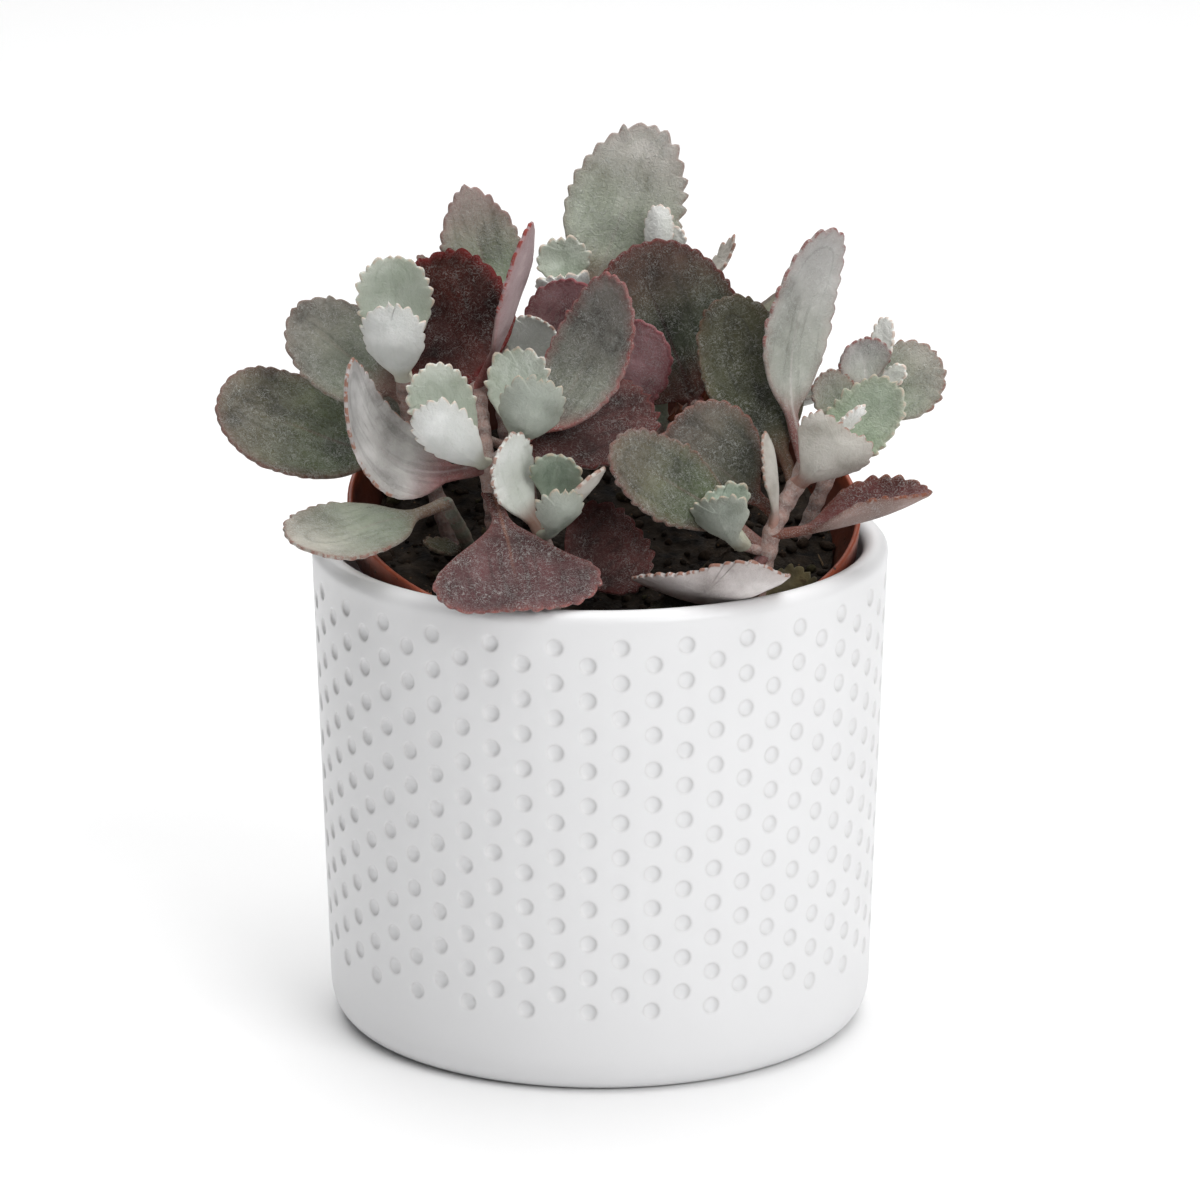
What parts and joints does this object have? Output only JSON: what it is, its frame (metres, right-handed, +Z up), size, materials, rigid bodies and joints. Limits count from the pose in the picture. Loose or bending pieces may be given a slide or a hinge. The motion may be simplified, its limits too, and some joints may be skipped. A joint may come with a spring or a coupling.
{
  "type": "potted flower dust plant",
  "caption": "Bushy succulent with grey-green, scalloped, powdery leaves in a tilted nursery pot, dropped into a round white glazed pot dimpled all over.",
  "frame": {"origin": "centre of the outer pot's flat underside", "axes": "+Z up, along the outer pot's axis; -Y to the front of the pictured view, towards the side where the nursery pot dips; +X to the right of that view"},
  "size_m": [0.1517, 0.1243, 0.1859],
  "materials": {
    "glazed_ceramic": "white satin glaze",
    "terracotta_plastic": "thin moulded plastic",
    "soil": "moist peat",
    "leafy_stem": "fleshy leaf under a powdery bloom"
  },
  "bodies": {
    "root": {"outer_pot": "glazed_ceramic", "nursery_pot": "terracotta_plastic", "soil": "soil", "shoot_front_left": "leafy_stem", "shoot_front_centre": "leafy_stem", "shoot_low_left": "leafy_stem", "shoot_far_left": "leafy_stem", "shoot_right": "leafy_stem", "shoot_far_right": "leafy_stem", "shoot_back_centre": "leafy_stem", "shoot_back_left": "leafy_stem", "shoot_rear_left": "leafy_stem", "shoot_rear_right": "leafy_stem"}
  },
  "joints": []
}
